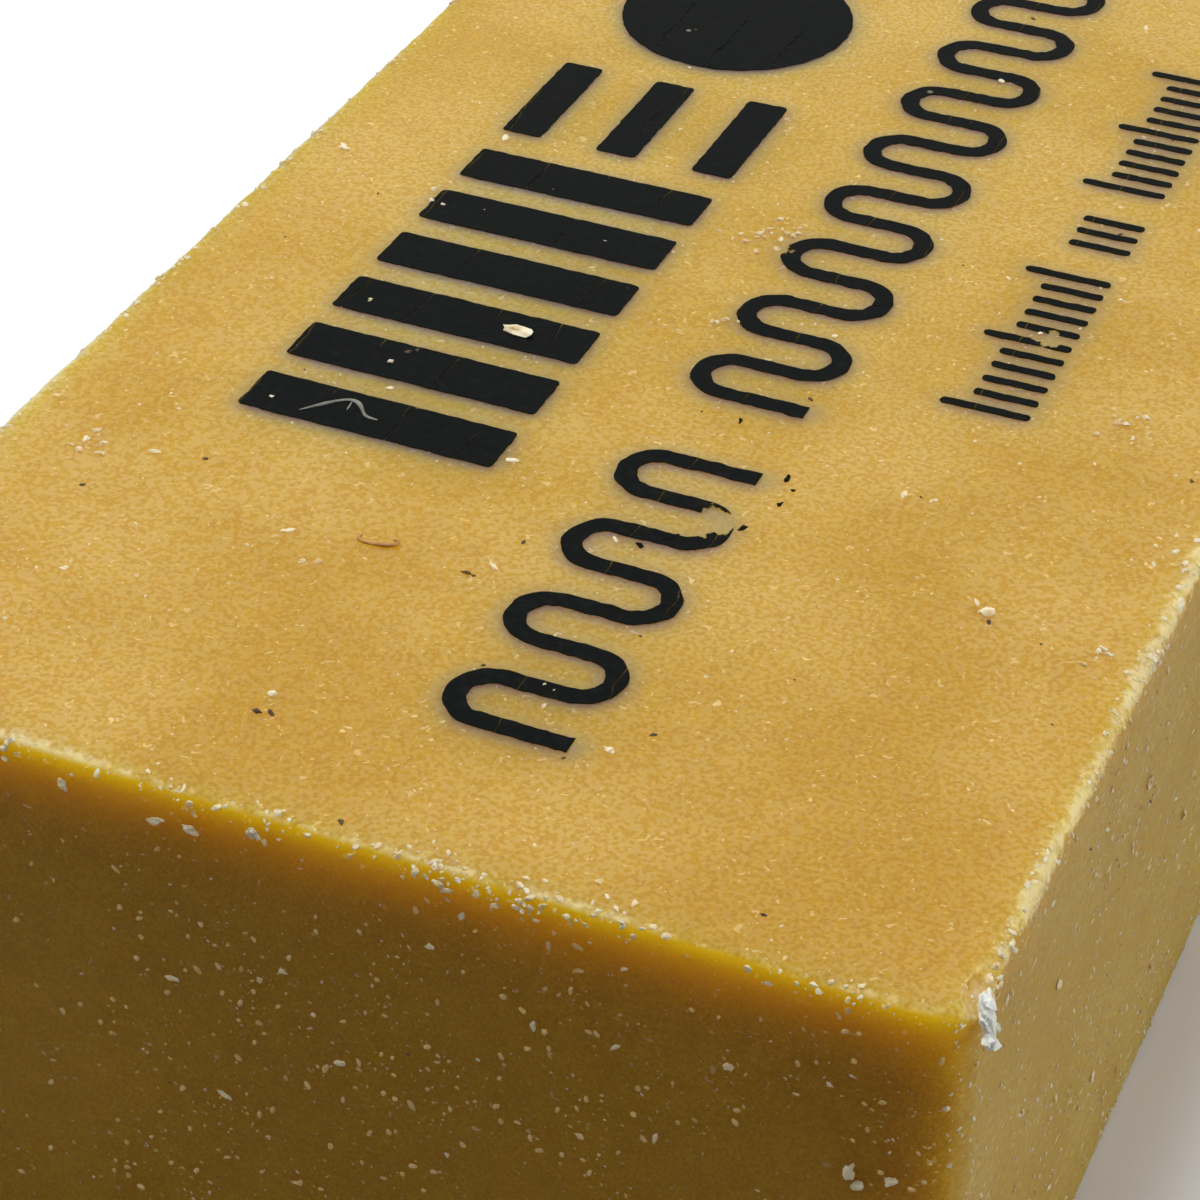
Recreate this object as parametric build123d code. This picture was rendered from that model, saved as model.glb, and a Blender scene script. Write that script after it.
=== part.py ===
# A gum eraser: one plain block of crumbly, vulcanised-oil gum, cut from a moulded slab.
#
# Frame, in millimetres: the origin is the middle of the underside. X runs across the block, Y along it
# and Z up. The end at -Y is the near end. The block is a single solid, because the real one is too.

from build123d import *

import os

# Driving dimensions
length = 54.6  # along Y
width = 25.4  # along X
height = 14.7  # along Z
upright_radius = 0.95  # the four upright edges, rounded by the mould
rim_radius = 0.3  # the edges round the top and the underside, rounded by cutting and handling

# The crumbled spot beside the near corner on the +X side: a shallow scoop out of the top edge
scoop_radius = 1.7  # of the ball that would fit the scoop
scoop_depth = 0.38  # how far the scoop reaches inside the sharp edge, along the edge's 45 degree line
scoop_inset = 1.2  # from the near end to the middle of the scoop

node_name = "gum_block"
parts_folder = "parts"


def rounded_block():
    """The whole block: a rounded rectangle drawn up to its height, with both rims rounded."""
    with BuildPart() as block:
        with BuildSketch(Plane.XY):
            RectangleRounded(width, length, upright_radius)
        extrude(amount=height)
        top_rim = block.faces().sort_by(Axis.Z)[-1].edges()
        bottom_rim = block.faces().sort_by(Axis.Z)[0].edges()
        fillet(top_rim + bottom_rim, radius=rim_radius)
    return block.part


def crumbled_spot():
    """The ball that cuts the scoop, set outside the sharp top edge on the edge's 45 degree line."""
    centre_offset = (scoop_radius - scoop_depth) / 2**0.5
    centre = (width / 2 + centre_offset, scoop_inset - length / 2, height + centre_offset)
    return Pos(*centre) * Sphere(scoop_radius)


gum_block = rounded_block() - crumbled_spot()

os.makedirs(parts_folder, exist_ok=True)
export_step(gum_block, os.path.join(parts_folder, node_name + ".step"))
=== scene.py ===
import math

import bmesh
import bpy
import numpy as np
from mathutils import Matrix, Vector, noise
from mathutils.bvhtree import BVHTree


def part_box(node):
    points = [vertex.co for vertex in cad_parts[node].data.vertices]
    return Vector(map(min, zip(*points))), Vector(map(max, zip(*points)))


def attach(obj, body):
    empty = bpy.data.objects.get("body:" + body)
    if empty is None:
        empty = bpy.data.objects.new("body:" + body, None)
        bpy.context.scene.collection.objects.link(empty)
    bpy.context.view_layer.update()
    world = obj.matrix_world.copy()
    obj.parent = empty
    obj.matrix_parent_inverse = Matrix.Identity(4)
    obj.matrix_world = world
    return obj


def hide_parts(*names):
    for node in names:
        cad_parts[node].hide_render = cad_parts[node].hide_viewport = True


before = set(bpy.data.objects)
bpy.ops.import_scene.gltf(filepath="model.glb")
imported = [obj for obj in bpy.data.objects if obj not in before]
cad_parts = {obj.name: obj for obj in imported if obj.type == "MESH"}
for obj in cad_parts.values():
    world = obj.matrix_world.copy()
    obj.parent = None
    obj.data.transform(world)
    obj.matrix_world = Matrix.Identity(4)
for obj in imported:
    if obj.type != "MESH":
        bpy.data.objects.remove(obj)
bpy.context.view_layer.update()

mm = 0.001

# The block's own measures, read from the CAD body it stands for
low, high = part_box("gum_block")
size = high - low
middle = (low + high) / 2
print("frame loaded, block in mm:", [round(s / mm, 2) for s in size])


def addPiece(name, data):
    piece = bpy.data.objects.new(name, data)
    bpy.context.scene.collection.objects.link(piece)
    return piece


def link(tree, source, target):
    tree.links.new(source, target)


# Gives a node's inputs their values, or links them where the value is another node's output
def fill(tree, node, inputs):
    for key, value in inputs.items():
        if isinstance(value, bpy.types.NodeSocket):
            link(tree, value, node.inputs[key])
        else:
            node.inputs[key].default_value = value
    return node


def addNode(tree, kind, inputs=None, **settings):
    node = tree.nodes.new(kind)
    for name, value in settings.items():
        setattr(node, name, value)
    return fill(tree, node, inputs or {})


def calc(tree, operation, first, second=None, clamp=False):
    inputs = {0: first} if second is None else {0: first, 1: second}
    return addNode(tree, "ShaderNodeMath", inputs, operation=operation, use_clamp=clamp).outputs[0]


def times(tree, first, second, clamp=False):
    return calc(tree, "MULTIPLY", first, second, clamp)


def plus(tree, first, second):
    return calc(tree, "ADD", first, second)


def minus(tree, first, second, clamp=False):
    return calc(tree, "SUBTRACT", first, second, clamp)


def remap(tree, value, fromLow, fromHigh, toLow=0.0, toHigh=1.0):
    node = addNode(tree, "ShaderNodeMapRange", {
        "Value": value, "From Min": fromLow, "From Max": fromHigh, "To Min": toLow, "To Max": toHigh,
    }, clamp=True, interpolation_type="SMOOTHSTEP")
    return node.outputs["Result"]


def opaque(colour):
    return (*colour, 1.0) if isinstance(colour, tuple) else colour


def mixColour(tree, factor, first, second, blend="MIX"):
    inputs = {0: factor, 6: opaque(first), 7: opaque(second)}  # the Mix node's colour sockets
    return addNode(tree, "ShaderNodeMix", inputs, data_type="RGBA", blend_type=blend).outputs[2]


def noiseNode(tree, vector, scale, detail, roughness=0.5):
    return addNode(tree, "ShaderNodeTexNoise", {
        "Vector": vector, "Scale": scale, "Detail": detail, "Roughness": roughness,
    })


def scaled(tree, vector, factor):
    node = addNode(tree, "ShaderNodeVectorMath", {0: vector, "Scale": factor}, operation="SCALE")
    return node.outputs[0]


# A random push in all directions, as a vector
def jitter(tree, vector, scale, detail, amount):
    push = noiseNode(tree, vector, scale, detail)
    centred = addNode(tree, "ShaderNodeVectorMath", {0: push.outputs["Color"], 1: (0.5, 0.5, 0.5)},
                      operation="SUBTRACT")
    return scaled(tree, centred.outputs[0], amount)


# Inputs are given by their usual value, or by the name of their type where they have none
def newGroup(name, kind, inputs, outputs):
    tree = bpy.data.node_groups.new(name, kind)
    for label, usual in inputs.items():
        socketType = usual if isinstance(usual, str) else "Int" if isinstance(usual, int) else "Float"
        socket = tree.interface.new_socket(label, in_out="INPUT", socket_type="NodeSocket" + socketType)
        if not isinstance(usual, str):
            socket.default_value = usual
    for label, socketType in outputs.items():
        tree.interface.new_socket(label, in_out="OUTPUT", socket_type="NodeSocket" + socketType)
    return tree, tree.nodes.new("NodeGroupInput"), tree.nodes.new("NodeGroupOutput")


def useGroup(tree, group, inputs):
    return addNode(tree, "ShaderNodeGroup", inputs, node_tree=group)


# Fine mottling: two sizes of noise laid over each other, as a value round 0.5
def makeGrainGroup():
    tree, given, result = newGroup("gumGrain", "ShaderNodeTree", {
        "Vector": "Vector",
        "Fine Scale": 5200.0,
        "Coarse Scale": 900.0,
    }, {"Mottle": "Float", "Height": "Float"})
    fineShare = 0.8
    fine = noiseNode(tree, given.outputs["Vector"], given.outputs["Fine Scale"], 2.0, 0.62)
    coarse = noiseNode(tree, given.outputs["Vector"], given.outputs["Coarse Scale"], 2.0, 0.55)
    mottle = plus(tree, times(tree, fine.outputs["Fac"], fineShare),
                  times(tree, coarse.outputs["Fac"], 1.0 - fineShare))
    link(tree, mottle, result.inputs["Mottle"])
    link(tree, fine.outputs["Fac"], result.inputs["Height"])
    return tree


# Scattered specks: round cells of a Voronoi pattern, thinned out by the random colour of each cell
def makeSpeckGroup():
    tree, given, result = newGroup("specks", "ShaderNodeTree", {
        "Vector": "Vector",
        "Scale": 2000.0,
        "Share": 0.3,
        "Radius": 0.2,
    }, {"Mask": "Float", "Pick": "Float"})
    cells = addNode(tree, "ShaderNodeTexVoronoi", {
        "Vector": given.outputs["Vector"], "Scale": given.outputs["Scale"],
    })
    parts = addNode(tree, "ShaderNodeSeparateColor", {"Color": cells.outputs["Color"]})
    smallest = 0.35  # of the radius, below which no speck goes
    softness = 0.06
    chosen = calc(tree, "LESS_THAN", parts.outputs[0], given.outputs["Share"])
    reach = times(tree, given.outputs["Radius"], plus(tree, parts.outputs[1], smallest))
    inside = remap(tree, minus(tree, reach, cells.outputs["Distance"]), 0.0, softness)
    link(tree, times(tree, inside, chosen), result.inputs["Mask"])
    link(tree, parts.outputs[2], result.inputs["Pick"])
    return tree


# A coordinate pushed about by noise, so that round cells come out irregular
def makeCrumpleGroup():
    tree, given, result = newGroup("crumple", "ShaderNodeTree", {
        "Vector": "Vector",
        "Scale": 5500.0,
        "Amount": 0.0003,
    }, {"Vector": "Vector"})
    vector = given.outputs["Vector"]
    push = jitter(tree, vector, given.outputs["Scale"], 0.0, given.outputs["Amount"])
    moved = addNode(tree, "ShaderNodeVectorMath", {0: vector, 1: push}, operation="ADD")
    link(tree, moved.outputs[0], result.inputs["Vector"])
    return tree


# Thin meandering lines, where a warped coordinate crosses evenly spaced values
def makeHairlineGroup():
    tree, given, result = newGroup("hairlines", "ShaderNodeTree", {
        "Vector": "Vector",
        "Spacing": 0.0021,
        "Wander": 0.0016,
        "Thickness": 0.00005,
        "Broken": 0.5,
    }, {"Mask": "Float"})
    vector = given.outputs["Vector"]
    slow = noiseNode(tree, vector, 75.0, 6.0, 0.62)
    drift = times(tree, minus(tree, slow.outputs["Fac"], 0.5), given.outputs["Wander"])
    axes = addNode(tree, "ShaderNodeSeparateXYZ", {"Vector": vector})
    across = plus(tree, axes.outputs["X"], drift)
    phase = calc(tree, "PINGPONG", across, given.outputs["Spacing"])
    line = remap(tree, phase, 0.0, given.outputs["Thickness"], 1.0, 0.0)
    gaps = noiseNode(tree, vector, 420.0, 1.0)
    kept = remap(tree, minus(tree, gaps.outputs["Fac"], given.outputs["Broken"]), -0.02, 0.03)
    link(tree, times(tree, line, kept), result.inputs["Mask"])
    return tree


grainGroup = makeGrainGroup()
speckGroup = makeSpeckGroup()
crumpleGroup = makeCrumpleGroup()
hairlineGroup = makeHairlineGroup()


def newMaterial(name):
    material = bpy.data.materials.new(name)
    material.use_nodes = True
    tree = material.node_tree
    tree.nodes.clear()
    output = tree.nodes.new("ShaderNodeOutputMaterial")
    shader = tree.nodes.new("ShaderNodeBsdfPrincipled")
    link(tree, shader.outputs[0], output.inputs[0])
    coords = tree.nodes.new("ShaderNodeTexCoord")
    return material, tree, shader, coords.outputs["Object"]


gumLook = {
    "honey": (0.62, 0.345, 0.024),  # clean gum in plain light
    "paintedGlowColour": (0.86, 0.52, 0.004),  # painted glow: a lit band painted on the cut ends under the top rim
    "paintedGlowReach": 2.0 * mm,
    "paintedGlowStrength": 0.58,
    "sideShadeTint": (0.81, 0.75, 0.55),  # painted shade: how much darker and duller the long sides are painted than the top
    "sideStretch": (1.0, 0.55, 1.0),  # the grain is drawn out along the long sides
    "fineGrain": 15000.0,
    "coarseGrain": 2400.0,
    "frostGrain": 9000.0,
    "cloudGrain": 190.0,
    "cloudShade": (0.95, 1.02),  # how much the clouds darken and lighten the gum
    "deepHoney": (0.49, 0.250, 0.013),  # the darker grains
    "bloom": (0.68, 0.46, 0.155),  # pale frosting on the moulded faces
    "bloomShare": 0.52,
    "wornRim": (0.93, 0.70, 0.36),  # broken-up gum along the edges
    "rimWidth": 0.40 * mm,
    "inkStain": (0.40, 0.33, 0.16),  # grey bleed round the print
    "stainReach": 0.5 * mm,
    "stainStrength": 0.62,
    "crumple": 0.32 * mm,  # how far the specks are knocked out of round
    "smallSpecks": {"scale": 4200.0, "share": 0.70, "radius": 0.215, "strength": 0.37},
    "largeSpecks": {"scale": 1900.0, "share": 0.26, "radius": 0.13, "strength": 0.60},
    "paleSpeck": (0.98, 0.80, 0.46),
    "amberSpeck": (0.85, 0.56, 0.14),
    "scatterRadius": (1.0, 0.9, 0.12),  # how much further red light travels than green and blue
    "scatterScale": 3.6 * mm,
    "scatterForward": 0.6,
    "gloss": 0.045,
}


# A layer of specks: its mask, and the random pick of each speck
def addSpecks(tree, vector, kind):
    specks = useGroup(tree, speckGroup, {
        "Vector": vector, "Scale": kind["scale"], "Share": kind["share"], "Radius": kind["radius"],
    })
    return times(tree, specks.outputs["Mask"], kind["strength"]), specks.outputs["Pick"]


def makeGumMaterial(look):
    material, tree, shader, place = newMaterial("gumMaterial")
    facing = addNode(tree, "ShaderNodeNewGeometry")
    normal = addNode(tree, "ShaderNodeSeparateXYZ", {"Vector": facing.outputs["Normal"]})
    steepX = calc(tree, "ABSOLUTE", normal.outputs["X"])
    steepY = calc(tree, "ABSOLUTE", normal.outputs["Y"])

    onSide = calc(tree, "GREATER_THAN", steepX, 0.75)
    drawn = addNode(tree, "ShaderNodeVectorMath", {0: place, 1: look["sideStretch"]},
                    operation="MULTIPLY")
    grainPlace = mixColour(tree, onSide, place, drawn.outputs[0])
    grain = useGroup(tree, grainGroup, {
        "Vector": grainPlace, "Fine Scale": look["fineGrain"], "Coarse Scale": look["coarseGrain"],
    })
    mottle = remap(tree, grain.outputs["Mottle"], 0.38, 0.62)
    colour = mixColour(tree, mottle, look["deepHoney"], look["honey"])

    # the bloom lies on the moulded faces and is missing from the two cut ends
    cutEnd = remap(tree, steepY, 0.32, 0.78)
    moulded = minus(tree, 1.0, cutEnd)
    clouds = noiseNode(tree, place, look["cloudGrain"], 2.0, 0.6).outputs["Fac"]
    patchy = remap(tree, clouds, 0.3, 0.7, 0.72, 1.22)
    frost = noiseNode(tree, grainPlace, look["frostGrain"], 0.0).outputs["Fac"]
    bloom = times(tree, look["bloomShare"], patchy)
    bloom = times(tree, bloom, remap(tree, frost, 0.40, 0.60, 0.62, 1.38))
    colour = mixColour(tree, times(tree, bloom, moulded, clamp=True), colour, look["bloom"])
    colour = scaled(tree, colour, remap(tree, clouds, 0.34, 0.66, *look["cloudShade"]))

    # painted glow under the top rim of the cut ends, and painted shade that makes the long sides duller
    # than the top
    axes = addNode(tree, "ShaderNodeSeparateXYZ", {"Vector": place})
    below = minus(tree, high.z, axes.outputs["Z"])
    # painted glow: the cut ends turn amber just under the top rim, as if lit through from above
    paintedGlowMask = remap(tree, below, 0.1 * mm, look["paintedGlowReach"], look["paintedGlowStrength"], 0.0)
    colour = mixColour(tree, times(tree, paintedGlowMask, cutEnd), colour, look["paintedGlowColour"])
    # painted shade: the long sides are multiplied darker than the top
    sideShadeMask = remap(tree, steepX, 0.78, 0.98)
    colour = mixColour(tree, sideShadeMask, colour, mixColour(tree, 1.0, colour, look["sideShadeTint"], "MULTIPLY"))

    stain = addNode(tree, "ShaderNodeAttribute", attribute_name="inkStain")
    stained = times(tree, calc(tree, "POWER", stain.outputs["Fac"], 1.6), look["stainStrength"])
    colour = mixColour(tree, stained, colour, look["inkStain"])

    # specks: many small ones, amber or pale, and fewer larger pale ones
    crumpled = useGroup(tree, crumpleGroup, {"Vector": grainPlace, "Amount": look["crumple"]}).outputs[0]
    small, pick = addSpecks(tree, crumpled, look["smallSpecks"])
    tint = mixColour(tree, calc(tree, "GREATER_THAN", pick, 0.5), look["amberSpeck"], look["paleSpeck"])
    colour = mixColour(tree, small, colour, tint)
    colour = mixColour(tree, addSpecks(tree, crumpled, look["largeSpecks"])[0], colour, look["paleSpeck"])

    # rims: a crumbled pale line, ragged on its inner side and thin in places
    edge = addNode(tree, "ShaderNodeAttribute", attribute_name="edgeDistance")
    wear = addNode(tree, "ShaderNodeAttribute", attribute_name="rimWear")
    breakup = noiseNode(tree, place, 3600.0, 2.0, 0.7).outputs["Fac"]
    reach = times(tree, look["rimWidth"] * 2,
                  plus(tree, minus(tree, breakup, 0.22), times(tree, minus(tree, clouds, 0.5), 1.3)))
    worn = remap(tree, minus(tree, reach, edge.outputs["Fac"]), -0.10 * mm, 0.22 * mm)
    worn = times(tree, times(tree, worn, wear.outputs["Fac"]), moulded)
    colour = mixColour(tree, worn, colour, look["wornRim"])

    fill(tree, shader, {
        "Base Color": colour,
        "Roughness": remap(tree, grain.outputs["Mottle"], 0.3, 0.7, 0.50, 0.68),
        "Subsurface Weight": 1.0,
        "Subsurface Radius": look["scatterRadius"],
        "Subsurface Scale": look["scatterScale"],
        "Subsurface Anisotropy": look["scatterForward"],
        "IOR": 1.48,
        "Specular IOR Level": look["gloss"],
    })
    return material


# The print is generic: bars, stripes, a disc, a meander line and rows of ticks, in black ink
inkLook = {
    "black": (0.0045, 0.0056, 0.0050),
    "faded": (0.0095, 0.0110, 0.0100),
    "dust": (0.34, 0.31, 0.24),
    "dustSpecks": {"scale": 1300.0, "share": 0.10, "radius": 0.13, "strength": 0.7},
    "cracksAlong": {"Spacing": 0.83 * mm, "Wander": 2.6 * mm, "Thickness": 0.04 * mm, "Broken": 0.46},
    "cracksAcross": {"Spacing": 3.1 * mm, "Wander": 3.0 * mm, "Thickness": 0.03 * mm, "Broken": 0.55},
    "crossingTurn": math.radians(58),
    "crackDepth": 0.52,  # how much of the gum shows through a crack
    "gloss": 0.02,
    "bumpDepth": 0.012 * mm,
    "filmThickness": 0.02 * mm,
    "gap": 0.006 * mm,  # between the gum and the film's underside
}


def addBump(tree, shader, height, depth, strength):
    bump = addNode(tree, "ShaderNodeBump", {"Height": height, "Distance": depth, "Strength": strength})
    link(tree, bump.outputs["Normal"], shader.inputs["Normal"])


def makeInkMaterial(look):
    material, tree, shader, place = newMaterial("inkMaterial")
    grain = useGroup(tree, grainGroup, {"Vector": place, "Fine Scale": 4200.0, "Coarse Scale": 600.0})
    mottle = grain.outputs["Mottle"]
    colour = mixColour(tree, remap(tree, mottle, 0.45, 0.7), look["black"], look["faded"])
    colour = mixColour(tree, addSpecks(tree, place, look["dustSpecks"])[0], colour, look["dust"])
    # cracks run along the block, where bending it has split the film, and a few wander across
    turned = addNode(tree, "ShaderNodeMapping", {
        "Vector": place, "Rotation": (0.0, 0.0, look["crossingTurn"]),
    })
    along = useGroup(tree, hairlineGroup, {"Vector": place, **look["cracksAlong"]})
    crossing = useGroup(tree, hairlineGroup, {"Vector": turned.outputs[0], **look["cracksAcross"]})
    split = calc(tree, "MAXIMUM", along.outputs["Mask"], crossing.outputs["Mask"])
    # rubbed spots, where the film has come away in bits
    lossMap = addNode(tree, "ShaderNodeAttribute", attribute_name="rubbed")
    bits = noiseNode(tree, place, 2400.0, 3.0, 0.6)
    lost = remap(tree, plus(tree, lossMap.outputs["Fac"], bits.outputs["Fac"]), 0.93, 0.99)
    gone = calc(tree, "MAXIMUM", times(tree, split, look["crackDepth"]), lost)
    fill(tree, shader, {
        "Base Color": colour,
        "Alpha": minus(tree, 1.0, gone, clamp=True),
        "Roughness": remap(tree, mottle, 0.3, 0.7, 0.42, 0.6),
        "Specular IOR Level": look["gloss"],
    })
    addBump(tree, shader, grain.outputs["Height"], look["bumpDepth"], 0.7)
    return material


# What the crumbs, flakes and threads are made of
crumbLooks = {
    "crumb": {"name": "paleCrumbMaterial", "pale": (0.90, 0.80, 0.60), "deep": (0.72, 0.52, 0.26),
              "roughness": 0.55, "scatter": 0.4},
    "chalk": {"name": "chalkMaterial", "pale": (0.97, 0.87, 0.64), "deep": (0.86, 0.70, 0.42),
              "roughness": 0.6, "scatter": 0.3},
    "white": {"name": "whiteMaterial", "pale": (0.98, 0.95, 0.83), "deep": (0.94, 0.90, 0.74),
              "roughness": 0.6, "scatter": 0.5},
    "tan": {"name": "tanCrumbMaterial", "pale": (0.86, 0.63, 0.29), "deep": (0.68, 0.44, 0.13),
            "roughness": 0.6, "scatter": 0.3},
    "scuff": {"name": "scuffMaterial", "pale": (0.30, 0.29, 0.24), "deep": (0.12, 0.12, 0.10),
              "roughness": 0.7, "scatter": 0.0},
    "dirt": {"name": "dirtMaterial", "pale": (0.09, 0.048, 0.012), "deep": (0.02, 0.010, 0.004),
             "roughness": 0.6, "scatter": 0.0},
    "fibre": {"name": "fibreMaterial", "pale": (0.52, 0.27, 0.07), "deep": (0.32, 0.13, 0.025),
              "roughness": 0.45, "scatter": 0.2},
}


def makeCrumbMaterial(look):
    material, tree, shader, place = newMaterial(look["name"])
    grain = useGroup(tree, grainGroup, {"Vector": place, "Fine Scale": 3000.0, "Coarse Scale": 350.0})
    mottle = grain.outputs["Mottle"]
    fill(tree, shader, {
        "Base Color": mixColour(tree, remap(tree, mottle, 0.35, 0.65), look["deep"], look["pale"]),
        "Roughness": remap(tree, mottle, 0.3, 0.7, look["roughness"] - 0.1, look["roughness"] + 0.1),
        "Subsurface Weight": look["scatter"],
        "Subsurface Radius": (1.0, 0.6, 0.3),
        "Subsurface Scale": 0.15 * mm,
        "Specular IOR Level": 0.4,
    })
    addBump(tree, shader, grain.outputs["Height"], 0.01 * mm, 0.6)
    return material


gumMaterial = makeGumMaterial(gumLook)
inkMaterial = makeInkMaterial(inkLook)
materials = {key: makeCrumbMaterial(look) for key, look in crumbLooks.items()}
materials["ink"] = inkMaterial
print("materials made")


block = {
    "uprightRadius": 0.95 * mm,  # as the CAD body has it
    "rimRadius": 0.30 * mm,
    "coarseStep": 0.27 * mm,
    "edgeStep": 0.10 * mm,
    "edgeZone": 1.2 * mm,  # how far the fine steps reach in from each edge
    "swell": 0.035 * mm,  # slow hollows and swells of the cut faces
    "ripple": 0.006 * mm,
    "rimNotch": 0.10 * mm,  # how deep the crumbled rim is bitten
    "notchReach": 0.5 * mm,  # how far from the edge it is bitten
    "scoopRough": 0.09 * mm,
    "scoopGrain": 0.05 * mm,
    "scoopRadius": 1.7 * mm,
    "scoopDepth": 0.38 * mm,
    "scoopInset": 1.2 * mm,
    "scoopWear": 0.62,
    "scoopPale": 0.16 * mm,  # it is as pale as the rim is at this distance from its edge
    "seed": 4.0,
}


# Steps along one side of the block: fine near both ends, coarse between
def sideSteps(span, b):
    fineCount = round(b["edgeZone"] / b["edgeStep"])
    fine = np.linspace(0.0, b["edgeZone"], fineCount + 1)
    coarseCount = max(2, round((span - 2 * b["edgeZone"]) / b["coarseStep"]))
    coarse = np.linspace(b["edgeZone"], span - b["edgeZone"], coarseCount + 1)
    return np.concatenate([fine[:-1], coarse, span - fine[:-1][::-1]]) - span / 2


# One face of the box as a grid of points and quads that face outwards
def faceGrid(alongU, alongV, axisU, axisV, axisN, offset):
    u, v = np.meshgrid(alongU, alongV, indexing="ij")
    points = np.zeros((u.size, 3))
    points[:, axisU] = u.ravel()
    points[:, axisV] = v.ravel()
    points[:, axisN] = offset
    rows, columns = len(alongU), len(alongV)
    index = np.arange(rows * columns).reshape(rows, columns)
    quads = np.stack([index[:-1, :-1], index[1:, :-1], index[1:, 1:], index[:-1, 1:]], -1).reshape(-1, 4)
    turnsOut = (axisN - axisU) % 3 == 2
    if turnsOut != (offset > 0):
        quads = quads[:, ::-1]
    return points, quads


# Bends the sharp box's points onto a block with rounded uprights and rims
def roundOff(points, b):
    half = np.array(size) / 2
    bigRadius, smallRadius = b["uprightRadius"], b["rimRadius"]
    core = np.clip(points[:, :2], -(half[:2] - bigRadius), half[:2] - bigRadius)
    arm = points[:, :2] - core
    length = np.linalg.norm(arm, axis=1)
    inCorner = (np.abs(arm) > 0).all(1)
    squash = np.where(inCorner, np.abs(arm).max(1) / np.maximum(length, 1e-12), 1.0)
    arm = arm * squash[:, None]
    length = np.linalg.norm(arm, axis=1)
    flatArm = half[:2] - np.abs(points[:, :2])
    depth = np.where(inCorner, bigRadius - length, flatArm.min(1))
    outward = np.where(inCorner[:, None], arm / np.maximum(length, 1e-12)[:, None], 0.0)
    nearX = flatArm[:, 0] <= flatArm[:, 1]
    straight = np.zeros_like(outward)
    straight[:, 0] = np.where(nearX, np.sign(points[:, 0]), 0.0)
    straight[:, 1] = np.where(nearX, 0.0, np.sign(points[:, 1]))
    outward = np.where(inCorner[:, None], outward, straight)
    moved = np.concatenate([core + arm, points[:, 2:]], 1)

    rise = half[2] - np.abs(points[:, 2])
    onCap = rise < 1e-9
    tilt = np.arctan(np.clip(smallRadius - depth, 0, None) / smallRadius)
    newDepth = smallRadius - smallRadius * np.sin(tilt)
    capShift = np.where(onCap & (depth < smallRadius), depth - newDepth, 0.0)
    capDrop = np.where(onCap & (depth < smallRadius), smallRadius * (1 - np.cos(tilt)), 0.0)
    lift = np.arctan(np.clip(smallRadius - rise, 0, None) / smallRadius)
    inside = ~onCap & (rise < smallRadius)
    wallShift = np.where(inside, -smallRadius * (1 - np.cos(lift)), 0.0)
    newRise = np.where(inside, smallRadius - smallRadius * np.sin(lift), rise)
    newRise = np.where(onCap, capDrop, newRise)
    moved[:, :2] += outward * (capShift + wallShift)[:, None]
    moved[:, 2] = np.sign(points[:, 2]) * (half[2] - newRise)
    return moved


def noiseAt(point, wavelength, shift=0.0):
    return noise.noise(Vector(point) / wavelength + Vector((shift, shift * 1.7, -shift)))


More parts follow.
